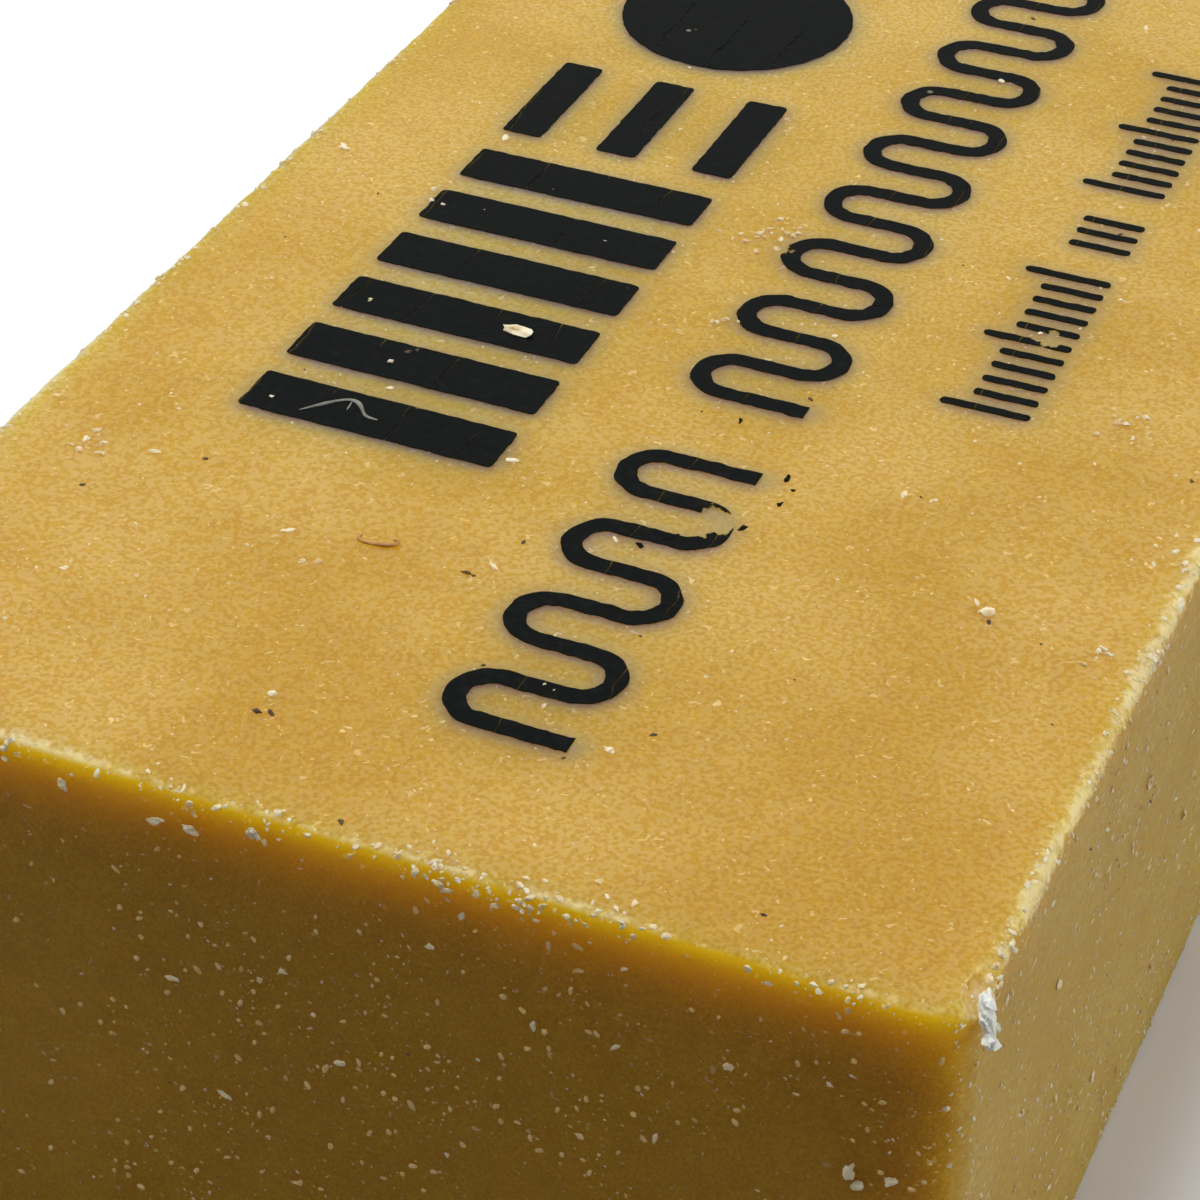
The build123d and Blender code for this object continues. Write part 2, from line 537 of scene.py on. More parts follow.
def makeBlock(b):
    steps = [sideSteps(span, b) for span in size]
    half = [span / 2 for span in size]
    points, quads, count = [], [], 0
    for axisU, axisV, axisN in ((0, 1, 2), (1, 2, 0), (2, 0, 1)):
        for side in (-1, 1):
            p, q = faceGrid(steps[axisU], steps[axisV], axisU, axisV, axisN, side * half[axisN])
            points.append(p)
            quads.append(q + count)
            count += len(p)
    points, quads = np.concatenate(points), np.concatenate(quads)
    rounded = roundOff(points, b)
    mesh = bpy.data.meshes.new("gum_skin")
    mesh.from_pydata((rounded + np.array(middle)).tolist(), [], quads.tolist())
    work = bmesh.new()
    work.from_mesh(mesh)
    bmesh.ops.remove_doubles(work, verts=work.verts, dist=0.0005 * mm)
    bmesh.ops.recalc_face_normals(work, faces=work.faces)
    work.to_mesh(mesh)
    work.free()
    mesh.update()

    co = np.array([v.co for v in mesh.vertices])
    normals = np.array([v.normal for v in mesh.vertices])
    halfSize = np.array(size) / 2
    local = np.abs(co - np.array(middle))
    fromFaces = np.sort(halfSize - local, axis=1)
    edgeDistance = fromFaces[:, 1]  # to the second nearest face: small only close to an edge
    nearEdge = np.clip(1 - edgeDistance / b["notchReach"], 0, 1)
    topRim = np.clip((co[:, 2] - (high.z - 1.2 * mm)) / (0.9 * mm), 0, 1)

    farSide = np.clip((middle.x - co[:, 0]) / (3 * mm) - 3.6, 0, 1)  # the -X rim has been handled less
    wear = (0.36 + 0.59 * topRim) * (1 - 0.65 * farSide)
    push = np.zeros(len(co))
    for i, (p, edge) in enumerate(zip(co, nearEdge)):
        push[i] = noiseAt(p, 9 * mm, b["seed"]) * b["swell"]
        push[i] += noiseAt(p, 2.2 * mm, b["seed"]) * b["ripple"]
        if edge > 0:
            ragged = noiseAt(p, 0.5 * mm, b["seed"] + 2) * 0.5
            ragged += noiseAt(p, 0.24 * mm, b["seed"] + 5) * 0.4
            push[i] -= edge ** 2 * max(-0.2, ragged) * b["rimNotch"]

    moved = co + normals * push[:, None]
    # the crumbled scoop beside the near corner
    offset = (b["scoopRadius"] - b["scoopDepth"]) / math.sqrt(2)
    ball = np.array([high.x + offset, low.y + b["scoopInset"], high.z + offset])
    away = moved - ball
    distance = np.linalg.norm(away, axis=1)
    for i in np.where(distance < b["scoopRadius"])[0]:
        rough = noiseAt(moved[i], 0.30 * mm, 3.0) * b["scoopRough"]
        rough += noiseAt(moved[i], 0.14 * mm, 9.0) * b["scoopGrain"]
        moved[i] = ball + away[i] / distance[i] * (b["scoopRadius"] + rough)
        wear[i] = b["scoopWear"]
        edgeDistance[i] = min(edgeDistance[i], b["scoopPale"])
    moved[:, 2] = np.maximum(moved[:, 2], low.z)
    mesh.vertices.foreach_set("co", moved.ravel())
    attribute = mesh.attributes.new("rimWear", "FLOAT", "POINT")
    attribute.data.foreach_set("value", np.clip(wear, 0, 1).astype(np.float32))
    attribute = mesh.attributes.new("edgeDistance", "FLOAT", "POINT")
    attribute.data.foreach_set("value", edgeDistance.astype(np.float32))
    for polygon in mesh.polygons:
        polygon.use_smooth = True
    mesh.update()
    mesh.materials.append(gumMaterial)
    return addPiece("gum_skin", mesh)


gumSkin = makeBlock(block)
gumSurface = BVHTree.FromObject(gumSkin, bpy.context.evaluated_depsgraph_get())
print("block skin:", len(gumSkin.data.polygons) * 2, "triangles")


# Rows of separate marks. Every row runs along the block from its start, measured from the near end, and
# its foot is the line that the marks stand on, on the +X side of them
plainRow = {"count": 1, "pitch": 1.0 * mm, "corner": 0.10 * mm, "everyFifth": 1.0}
markRows = {
    "print_bars_near": {**plainRow, "foot": -2.18 * mm, "start": 12.3 * mm, "pitch": 2.27 * mm,
                        "count": 6, "tall": 6.15 * mm, "wide": 1.45 * mm},
    "print_stripe_top": {**plainRow, "foot": -7.28 * mm, "start": 26.2 * mm, "tall": 1.05 * mm,
                         "wide": 4.0 * mm},
    "print_stripe_middle": {**plainRow, "foot": -4.73 * mm, "start": 26.2 * mm, "tall": 1.05 * mm,
                            "wide": 4.0 * mm},
    "print_stripe_foot": {**plainRow, "foot": -2.18 * mm, "start": 26.2 * mm, "tall": 1.05 * mm,
                          "wide": 4.0 * mm},
    "print_disc": {**plainRow, "foot": -2.18 * mm, "start": 31.4 * mm, "tall": 6.15 * mm,
                   "wide": 6.15 * mm, "corner": 3.07 * mm},
    "print_bars_far": {**plainRow, "foot": -2.18 * mm, "start": 38.7 * mm, "pitch": 2.27 * mm,
                       "count": 2, "tall": 6.15 * mm, "wide": 1.45 * mm},
    "print_ticks_near": {**plainRow, "foot": 7.79 * mm, "start": 18.8 * mm, "pitch": 0.62 * mm,
                         "count": 11, "tall": 1.5 * mm, "wide": 0.25 * mm, "corner": 0.08 * mm,
                         "everyFifth": 1.38},
    "print_ticks_middle": {**plainRow, "foot": 7.79 * mm, "start": 26.6 * mm, "pitch": 0.62 * mm,
                           "count": 3, "tall": 1.5 * mm, "wide": 0.25 * mm, "corner": 0.08 * mm},
    "print_ticks_far": {**plainRow, "foot": 7.79 * mm, "start": 29.6 * mm, "pitch": 0.62 * mm,
                        "count": 11, "tall": 1.5 * mm, "wide": 0.25 * mm, "corner": 0.08 * mm,
                        "everyFifth": 1.38},
}
# Unbroken lines that go to and fro across their row, with round turns
meanders = {
    "print_wave_near": {"foot": 3.45 * mm, "start": 4.1 * mm, "turns": 7, "pitch": 1.42 * mm,
                        "tall": 3.2 * mm, "line": 0.46 * mm},
    "print_wave_far": {"foot": 3.45 * mm, "start": 16.9 * mm, "turns": 23, "pitch": 1.42 * mm,
                       "tall": 3.2 * mm, "line": 0.46 * mm},
}
rubbedSpots = [  # middle across, middle along from the near end, and reach
    (2.9 * mm, 12.4 * mm, 1.3 * mm),
    (3.4 * mm, 13.2 * mm, 0.8 * mm),
    (7.2 * mm, 22.3 * mm, 0.9 * mm),
    (0.3 * mm, 23.5 * mm, 0.5 * mm),
]


# Marks in a row: a rounded outline filled in, stood on each point of a line, every fifth one taller
def makeRowTree():
    tree, given, result = newGroup("printRow", "GeometryNodeTree", {
        "Geometry": "Geometry",
        "Count": 10,
        "Pitch": 0.001,
        "Tall": 0.003,
        "Wide": 0.001,
        "Corner": 0.0001,
        "Every Fifth": 1.0,
        "Ragged": 0.00004,
        "Origin": "Vector",
        "Ink": "Material",
    }, {"Geometry": "Geometry"})
    inputs = given.outputs
    outline = addNode(tree, "GeometryNodeCurvePrimitiveQuadrilateral",
                      {"Width": inputs["Tall"], "Height": inputs["Wide"]}, mode="RECTANGLE")
    soft = addNode(tree, "GeometryNodeFilletCurve", {
        "Curve": outline.outputs[0], "Radius": inputs["Corner"],
    }, mode="POLY")
    soft.inputs["Count"].default_value = 8
    soft.inputs["Limit Radius"].default_value = True
    even = addNode(tree, "GeometryNodeResampleCurve", {"Curve": soft.outputs[0]}, mode="LENGTH")
    even.inputs["Length"].default_value = 0.09 * mm
    filled = addNode(tree, "GeometryNodeFillCurve", {"Curve": even.outputs[0]}, mode="TRIANGLES")
    stand = addNode(tree, "ShaderNodeCombineXYZ", {
        "X": times(tree, inputs["Tall"], -0.5), "Y": times(tree, inputs["Wide"], 0.5),
    })
    stood = addNode(tree, "GeometryNodeTransform", {
        "Geometry": filled.outputs[0], "Translation": stand.outputs[0],
    })
    stepAlong = addNode(tree, "ShaderNodeCombineXYZ", {"Y": inputs["Pitch"]})
    row = addNode(tree, "GeometryNodeMeshLine", {
        "Count": inputs["Count"], "Start Location": inputs["Origin"], "Offset": stepAlong.outputs[0],
    }, mode="OFFSET")
    index = addNode(tree, "GeometryNodeInputIndex")
    fifth = calc(tree, "LESS_THAN", calc(tree, "MODULO", index.outputs[0], 5.0), 0.5)
    taller = plus(tree, 1.0, times(tree, fifth, minus(tree, inputs["Every Fifth"], 1.0)))
    stretch = addNode(tree, "ShaderNodeCombineXYZ", {"X": taller, "Y": 1.0, "Z": 1.0})
    placed = addNode(tree, "GeometryNodeInstanceOnPoints", {
        "Points": row.outputs[0], "Instance": stood.outputs[0], "Scale": stretch.outputs[0],
    })
    real = addNode(tree, "GeometryNodeRealizeInstances", {"Geometry": placed.outputs[0]})
    where = addNode(tree, "GeometryNodeInputPosition")
    shift = jitter(tree, where.outputs[0], 3200.0, 2.0, inputs["Ragged"])
    uneven = addNode(tree, "GeometryNodeSetPosition", {"Geometry": real.outputs[0], "Offset": shift})
    inked = addNode(tree, "GeometryNodeSetMaterial", {
        "Geometry": uneven.outputs[0], "Material": inputs["Ink"],
    })
    link(tree, inked.outputs[0], result.inputs["Geometry"])
    return tree


# Runs a tree on an object and gives its result back as a plain mesh object with no modifier
def bake(name, tree, values, base=None):
    mesh = base.copy() if base else bpy.data.meshes.new(name)
    carrier = addPiece(name + "_carrier", mesh)
    modifier = carrier.modifiers.new("nodes", "NODES")
    modifier.node_group = tree
    for item in tree.interface.items_tree:
        if item.item_type == "SOCKET" and item.in_out == "INPUT" and item.name in values:
            modifier[item.identifier] = values[item.name]
    graph = bpy.context.evaluated_depsgraph_get()
    finished = bpy.data.meshes.new_from_object(carrier.evaluated_get(graph))
    finished.name = name
    bpy.data.objects.remove(carrier)
    return addPiece(name, finished)


# Drops a flat piece's points onto the block's top, then gives the film its thickness
def layOnTop(piece, look):
    for vertex in piece.data.vertices:
        start = Vector((vertex.co.x, vertex.co.y, high.z + 2 * mm))
        hit = gumSurface.ray_cast(start, Vector((0, 0, -1)))[0]
        vertex.co.z = (hit.z if hit else high.z) + look["gap"]
    solid = piece.modifiers.new("film", "SOLIDIFY")
    solid.thickness = look["filmThickness"]
    solid.offset = 1.0


# The middle line of a meander: straight runs across the block, joined by half circles
def meanderPath(m):
    turn = m["pitch"] / 2
    foot, top = middle.x + m["foot"] - m["line"] / 2, middle.x + m["foot"] - m["tall"] + m["line"] / 2
    path = []
    for run in range(m["turns"] + 1):
        y = low.y + m["start"] + m["line"] / 2 + run * m["pitch"]
        upward = run % 2 == 0
        ends = (foot - turn, top + turn) if upward else (top + turn, foot - turn)
        if run == 0:
            ends = (foot, ends[1])
        if run == m["turns"]:
            ends = (ends[0], top if upward else foot)
        steps = max(2, round(abs(ends[1] - ends[0]) / (0.12 * mm)))
        path += [(ends[0] + (ends[1] - ends[0]) * k / steps, y) for k in range(steps + 1)]
        if run < m["turns"]:
            side = -1 if upward else 1
            for k in range(1, 20):
                angle = math.pi * k / 20
                path.append((ends[1] + side * turn * math.sin(angle), y + turn * (1 - math.cos(angle))))
    return path


def makeMeander(name, m):
    path = meanderPath(m)
    mesh = bpy.data.meshes.new(name)
    vertices, faces = [], []
    for i, (x, y) in enumerate(path):
        before, after = path[max(0, i - 1)], path[min(len(path) - 1, i + 1)]
        along = Vector((after[0] - before[0], after[1] - before[1])).normalized()
        across = Vector((-along.y, along.x))
        for k in (-1, 0, 1):
            ragged = noiseAt((x, y, k * mm), 0.22 * mm, 6.0) * 0.045 * mm * abs(k)
            spot = Vector((x, y)) + across * (k * m["line"] / 2 + ragged)
            vertices.append((spot.x, spot.y, high.z))
        if i:
            a = 3 * i
            faces += [(a - 3, a - 2, a + 1, a), (a - 2, a - 1, a + 2, a + 1)]
    mesh.from_pydata(vertices, [], faces)
    mesh.materials.append(inkMaterial)
    return addPiece(name, mesh)


def finishInk(piece):
    work = bmesh.new()
    work.from_mesh(piece.data)
    bmesh.ops.remove_doubles(work, verts=work.verts, dist=0.002 * mm)
    work.normal_update()
    for face in work.faces:
        if face.normal.z < 0:
            face.normal_flip()
    work.to_mesh(piece.data)
    work.free()
    layOnTop(piece, inkLook)
    rubbed = piece.data.attributes.new("rubbed", "FLOAT", "POINT")
    for i, vertex in enumerate(piece.data.vertices):
        level = 0.0
        for across, along, reach in rubbedSpots:
            spot = Vector((middle.x + across, low.y + along))
            level = max(level, 1 - (vertex.co.xy - spot).length / reach)
        rubbed.data[i].value = max(0.0, level) * 0.75
    return piece


def makePrint():
    tree = makeRowTree()
    made = []
    for name, row in markRows.items():
        piece = bake(name, tree, {
            "Count": row["count"], "Pitch": row["pitch"], "Tall": row["tall"], "Wide": row["wide"],
            "Corner": row["corner"], "Every Fifth": row["everyFifth"], "Ragged": 0.09 * mm,
            "Origin": (middle.x + row["foot"], low.y + row["start"], high.z), "Ink": inkMaterial,
        })
        made.append(finishInk(piece))
    for name, m in meanders.items():
        made.append(finishInk(makeMeander(name, m)))
    return made


# How near each point of the block's top is to a printed mark, for the grey bleed round the ink
def stainRoundPrint(piece):
    mesh = piece.data
    co = np.array([v.co for v in mesh.vertices])
    nearest = np.full(len(co), 1.0)
    for row in markRows.values():
        for i in range(row["count"]):
            tall = row["tall"] * (row["everyFifth"] if i % 5 == 0 else 1.0)
            centre = np.array([middle.x + row["foot"] - tall / 2,
                               low.y + row["start"] + i * row["pitch"] + row["wide"] / 2])
            half = np.array([tall, row["wide"]]) / 2 - row["corner"]
            gapXY = np.maximum(np.abs(co[:, :2] - centre) - half, 0)
            nearest = np.minimum(nearest, np.linalg.norm(gapXY, axis=1) - row["corner"])
    for m in meanders.values():
        for x, y in meanderPath(m)[::2]:
            nearest = np.minimum(nearest, np.hypot(co[:, 0] - x, co[:, 1] - y) - m["line"] / 2)
    stain = np.clip(1 - nearest / gumLook["stainReach"], 0, 1) * (co[:, 2] > high.z - 0.5 * mm)
    attribute = mesh.attributes.new("inkStain", "FLOAT", "POINT")
    attribute.data.foreach_set("value", stain.astype(np.float32))


printPieces = makePrint()
stainRoundPrint(gumSkin)
print("print laid:", [p.name for p in printPieces])


plainScatter = {"density": 0.0, "rimDensity": 0.0, "across": -1.0, "along": -1.0}
scatters = {  # densities are lumps per square millimetre; across and along choose the sides or the ends
    "rim_crumbs": {**plainScatter, "rimDensity": 24.0, "small": 0.018 * mm, "large": 0.085 * mm,
                   "long": 1.8, "seed": 11, "material": "crumb"},
    "face_dust": {**plainScatter, "density": 1.4, "rimDensity": 1.2, "small": 0.012 * mm,
                  "large": 0.040 * mm, "long": 1.9, "seed": 23, "material": "crumb"},
    "end_dust": {**plainScatter, "density": 4.2, "small": 0.018 * mm, "large": 0.075 * mm, "long": 2.2,
                 "seed": 29, "material": "tan", "along": 0.8},
    "side_dust": {**plainScatter, "density": 3.0, "small": 0.018 * mm, "large": 0.070 * mm, "long": 2.2,
                  "seed": 31, "material": "crumb", "across": 0.8},
    "pale_flakes": {**plainScatter, "density": 0.030, "rimDensity": 0.4, "small": 0.05 * mm,
                    "large": 0.11 * mm, "long": 2.4, "seed": 37, "material": "chalk"},
    "dark_specks": {**plainScatter, "density": 0.030, "small": 0.025 * mm, "large": 0.060 * mm,
                    "long": 2.2, "seed": 53, "material": "dirt"},
}


# Small lumps spread over a surface, more of them where the rim is worn, each one knocked out of round
def makeScatterTree():
    tree, given, result = newGroup("scatter", "GeometryNodeTree", {
        "Geometry": "Geometry",
        "Density": 1.0,
        "Rim Density": 1.0,
        "Small": 0.00002,
        "Large": 0.00008,
        "Long": 1.5,
        "Seed": 1,
        "Least Across": -1.0,
        "Least Along": -1.0,
        "Finish": "Material",
    }, {"Geometry": "Geometry"})
    inputs = given.outputs
    perSquareMillimetre = 1e6
    wear = addNode(tree, "GeometryNodeInputNamedAttribute", {"Name": "rimWear"}, data_type="FLOAT")
    edge = addNode(tree, "GeometryNodeInputNamedAttribute", {"Name": "edgeDistance"}, data_type="FLOAT")
    atRim = calc(tree, "LESS_THAN", edge.outputs[0], 0.32 * mm)
    rimShare = times(tree, times(tree, wear.outputs[0], atRim), inputs["Rim Density"])
    where = addNode(tree, "GeometryNodeInputPosition")
    clumps = noiseNode(tree, where.outputs[0], 420.0, 3.0)
    clumped = remap(tree, clumps.outputs["Fac"], 0.36, 0.66, 0.25, 2.0)
    density = times(tree, plus(tree, inputs["Density"], rimShare), clumped)
    normal = addNode(tree, "GeometryNodeInputNormal")
    parts = addNode(tree, "ShaderNodeSeparateXYZ", {"Vector": normal.outputs[0]})
    notUnder = calc(tree, "GREATER_THAN", parts.outputs["Z"], -0.6)
    steepX = calc(tree, "ABSOLUTE", parts.outputs["X"])
    steepY = calc(tree, "ABSOLUTE", parts.outputs["Y"])
    onSide = calc(tree, "GREATER_THAN", steepX, inputs["Least Across"])
    onEnd = calc(tree, "GREATER_THAN", steepY, inputs["Least Along"])
    chosen = times(tree, notUnder, times(tree, onSide, onEnd))
    density = times(tree, times(tree, density, perSquareMillimetre), chosen)
    points = addNode(tree, "GeometryNodeDistributePointsOnFaces", {
        "Mesh": inputs["Geometry"], "Density": density, "Seed": inputs["Seed"],
    }, distribute_method="RANDOM")
    lump = addNode(tree, "GeometryNodeMeshIcoSphere", {"Radius": 1.0, "Subdivisions": 1})
    pick = addNode(tree, "FunctionNodeRandomValue", {"Seed": inputs["Seed"]}, data_type="FLOAT")
    skewed = calc(tree, "POWER", pick.outputs[1], 3.0)  # many small ones, few large ones
    radius = plus(tree, inputs["Small"],
                  times(tree, skewed, minus(tree, inputs["Large"], inputs["Small"])))
    otherSeed = plus(tree, inputs["Seed"], 7.0)
    pickLong = addNode(tree, "FunctionNodeRandomValue", {"Seed": otherSeed}, data_type="FLOAT")
    longest = plus(tree, 1.0, times(tree, pickLong.outputs[1], minus(tree, inputs["Long"], 1.0)))
    shape = addNode(tree, "ShaderNodeCombineXYZ", {
        "X": times(tree, radius, longest), "Y": radius, "Z": times(tree, radius, 0.6),
    })
    turn = addNode(tree, "FunctionNodeRandomValue", {"Seed": inputs["Seed"]}, data_type="FLOAT_VECTOR")
    turn.inputs[0].default_value = (-0.5, -0.5, -3.14)
    turn.inputs[1].default_value = (0.5, 0.5, 3.14)
    spin = addNode(tree, "FunctionNodeRotateRotation", {
        "Rotation": points.outputs["Rotation"], "Rotate By": turn.outputs[0],
    }, rotation_space="LOCAL")
    placed = addNode(tree, "GeometryNodeInstanceOnPoints", {
        "Points": points.outputs["Points"], "Instance": lump.outputs["Mesh"],
        "Rotation": spin.outputs[0], "Scale": shape.outputs[0],
    })
    real = addNode(tree, "GeometryNodeRealizeInstances", {"Geometry": placed.outputs[0]})
    where = addNode(tree, "GeometryNodeInputPosition")
    shift = jitter(tree, where.outputs[0], 22000.0, 1.0, inputs["Large"])
    knocked = addNode(tree, "GeometryNodeSetPosition", {"Geometry": real.outputs[0], "Offset": shift})
    finished = addNode(tree, "GeometryNodeSetMaterial", {
        "Geometry": knocked.outputs[0], "Material": inputs["Finish"],
    })
    link(tree, finished.outputs[0], result.inputs["Geometry"])
    return tree


def makeScatters():
    tree = makeScatterTree()
    made = []
    for name, s in scatters.items():
        piece = bake(name, tree, {
            "Density": s["density"], "Rim Density": s["rimDensity"],
            "Small": s["small"], "Large": s["large"],
            "Long": s["long"], "Seed": s["seed"], "Finish": materials[s["material"]],
            "Least Across": s["across"], "Least Along": s["along"],
        }, base=gumSkin.data)
        made.append(piece)
        print(name, len(piece.data.polygons), "faces")
    return made


dustPieces = makeScatters()


# Each bit: across, along and up in mm from the middle of the underside, then its length, width and
# thickness in mm, and its turn on the surface in degrees
bitSets = {
    "chalk_bits": {"material": "chalk", "seed": 3, "bits": [
        (-3.95, -9.75, 14.7, 0.80, 0.34, 0.26, 12), (-6.0, -12.1, 14.7, 0.16, 0.12, 0.10, 0),
        (-7.6, -9.9, 14.7, 0.14, 0.10, 0.10, 40), (9.16, -15.6, 14.7, 0.34, 0.22, 0.16, 70),
        (8.86, -15.35, 14.7, 0.26, 0.09, 0.08, 150), (6.24, -12.27, 14.7, 0.26, 0.12, 0.10, 20),
        (3.94, -22.8, 14.7, 0.22, 0.14, 0.10, 60), (-5.03, -18.83, 14.7, 0.30, 0.12, 0.06, 5),
        (-0.62, -18.22, 14.7, 0.34, 0.10, 0.08, 55), (-10.6, -17.6, 14.7, 0.20, 0.14, 0.08, 0),
        (-9.0, -17.4, 14.7, 0.24, 0.12, 0.08, 40), (-8.6, -21.9, 14.7, 0.18, 0.10, 0.06, 10),
        (10.72, -27.3, 10.43, 0.46, 0.22, 0.18, 80), (10.90, -27.3, 10.15, 0.26, 0.18, 0.14, 30),
        (11.5, -27.3, 10.48, 0.26, 0.16, 0.10, 50), (-3.39, -27.3, 9.86, 0.34, 0.10, 0.06, 170),
        (-5.45, -27.3, 14.1, 0.26, 0.16, 0.12, 100), (-2.69, -27.3, 13.94, 0.34, 0.18, 0.12, 170),
        (-3.44, -27.3, 13.9, 0.32, 0.16, 0.12, 20), (-0.9, -27.3, 10.99, 0.20, 0.14, 0.08, 30),
        (-2.41, -27.3, 7.08, 0.30, 0.09, 0.06, 150), (0.27, -27.3, 9.02, 0.28, 0.12, 0.08, 20),
        (4.4, -27.3, 11.6, 0.22, 0.12, 0.08, 90), (6.9, -27.3, 9.7, 0.26, 0.10, 0.08, 80),
        (8.3, -27.3, 12.1, 0.20, 0.14, 0.10, 20), (2.3, -27.3, 12.8, 0.18, 0.12, 0.08, 0),
        (12.7, -20.93, 10.36, 0.24, 0.16, 0.12, 20), (12.7, -16.64, 4.08, 0.26, 0.12, 0.10, 70),
        (12.7, -14.78, 10.85, 0.30, 0.16, 0.12, 40), (12.7, -10.39, 6.67, 0.26, 0.18, 0.12, 0),
    ]},
    # a flake that stands out from the corner, hanging by its top, with small ones round it
    "corner_flake": {"material": "white", "seed": 8, "lean": 30, "bits": [
        (12.80, -26.62, 14.32, 0.78, 0.36, 0.24, 63), (12.70, -26.46, 14.58, 0.44, 0.30, 0.22, 40),
        (12.92, -26.78, 14.06, 0.34, 0.36, 0.20, 80), (12.74, -26.70, 14.44, 0.30, 0.22, 0.16, 100),
        (12.90, -26.44, 14.14, 0.22, 0.12, 0.12, 95),
    ]},
    "corner_crumble": {"material": "crumb", "seed": 19, "bits": [
        (12.70, -26.10, 14.10, 0.22, 0.10, 0.14, 100), (12.64, -25.96, 14.40, 0.20, 0.12, 0.12, 70),
        (12.56, -25.72, 14.56, 0.22, 0.14, 0.14, 30), (12.60, -25.45, 14.60, 0.18, 0.12, 0.12, 0),
        (12.70, -25.80, 13.90, 0.14, 0.08, 0.10, 95), (12.52, -25.15, 14.64, 0.18, 0.12, 0.12, 30),
        (12.62, -24.82, 14.55, 0.16, 0.10, 0.10, 60), (12.72, -26.20, 13.30, 0.12, 0.08, 0.08, 0),
        (12.70, -25.55, 14.30, 0.12, 0.08, 0.08, 45), (12.71, -26.56, 13.24, 0.12, 0.08, 0.08, 10),
    ]},
    "dirt_bits": {"material": "dirt", "seed": 5, "bits": [
        (-2.76, -24.49, 14.7, 0.18, 0.10, 0.08, 80), (-2.48, -24.42, 14.7, 0.20, 0.09, 0.07, 30),
        (-1.02, -18.68, 14.7, 0.24, 0.09, 0.07, 105), (-5.80, -11.55, 14.7, 0.20, 0.13, 0.07, 30),
        (-5.66, -11.42, 14.7, 0.14, 0.09, 0.06, 110), (-9.78, -19.14, 14.7, 0.13, 0.08, 0.06, 0),
        (4.54, -22.00, 14.7, 0.14, 0.08, 0.05, 10), (0.25, -26.78, 14.7, 0.14, 0.10, 0.06, 0),
        (8.36, -25.98, 14.7, 0.11, 0.07, 0.05, 0), (9.30, -15.90, 14.7, 0.16, 0.09, 0.06, 130),
        (-0.4, -17.2, 14.7, 0.13, 0.09, 0.05, 0), (3.1, -9.6, 14.7, 0.16, 0.08, 0.05, 10),
        (-7.9, -17.2, 14.7, 0.11, 0.08, 0.05, 60), (-4.6, -13.6, 14.7, 0.12, 0.08, 0.05, 20),
    ]},
    "ink_bits": {"material": "ink", "seed": 6, "bits": [
        (1.84, -16.30, 14.7, 0.22, 0.13, 0.06, 20), (2.35, -15.75, 14.7, 0.36, 0.13, 0.06, 5),
        (3.55, -14.85, 14.7, 0.20, 0.11, 0.06, 0), (3.95, -13.7, 14.7, 0.16, 0.10, 0.05, 30),
        (3.75, -12.75, 14.7, 0.26, 0.12, 0.06, 60), (4.02, -13.1, 14.7, 0.10, 0.08, 0.05, 0),
        (2.02, -11.05, 14.7, 0.20, 0.08, 0.05, 10), (7.15, -5.9, 14.7, 0.14, 0.09, 0.05, 0),
    ]},
}
clusters = [  # pale crumbs lying in groups: across, along, up, how many and how far apart, in mm
    (-0.85, -3.55, 14.7, 9, 0.26), (-0.30, -3.05, 14.7, 7, 0.26), (0.25, -2.85, 14.7, 4, 0.16),
    (-4.22, -19.73, 14.7, 3, 0.20), (-10.6, -17.62, 14.7, 6, 0.34), (-1.0, -8.05, 14.7, 5, 0.22),
    (0.1, -7.35, 14.7, 5, 0.24), (-8.0, -5.1, 14.7, 4, 0.22), (-9.3, -24.2, 14.7, 6, 0.40),
    (2.2, -21.6, 14.7, 4, 0.30), (11.9, -12.0, 14.7, 8, 0.40), (11.7, -15.8, 14.7, 7, 0.40),
    (-12.2, -20.6, 14.7, 7, 0.30), (9.9, -7.7, 14.7, 12, 0.34), (-1.3, -27.2, 14.5, 10, 0.30),
    (2.4, -27.2, 14.6, 14, 0.36), (4.0, -27.2, 14.6, 14, 0.36), (5.8, -27.2, 14.6, 10, 0.40),
]


# One irregular lump, pressed onto the nearest point of the block
def addLump(work, place, measures, turn, seed, lean=0.0):
    if lean:  # stands out from the +X side, its outer face turned up
        spot, normal = Vector(place), Vector((math.cos(lean), 0, math.sin(lean)))
    else:
        spot, normal = gumSurface.find_nearest(Vector(place))[:2]
    stand = normal.to_track_quat("Z", "Y").to_matrix() @ Matrix.Rotation(turn, 3, "Z")
    made = bmesh.ops.create_icosphere(work, subdivisions=2, radius=0.5)
    for vertex in made["verts"]:
        wobble = noise.noise(vertex.co * 2.3 + Vector((seed, 0, 0)))
        spike = noise.noise(vertex.co * 5.5 + Vector((0, seed, 0)))
        shape = vertex.co * (1.0 + 0.75 * wobble + 0.55 * spike)
        shape = Vector((shape.x * measures[0], shape.y * measures[1], shape.z * measures[2]))
        vertex.co = spot + stand @ (shape + Vector((0, 0, measures[2] * 0.22)))


def finishBits(name, work, material):
    mesh = bpy.data.meshes.new(name)
    work.to_mesh(mesh)
    work.free()
    mesh.materials.append(material)
    return addPiece(name, mesh)


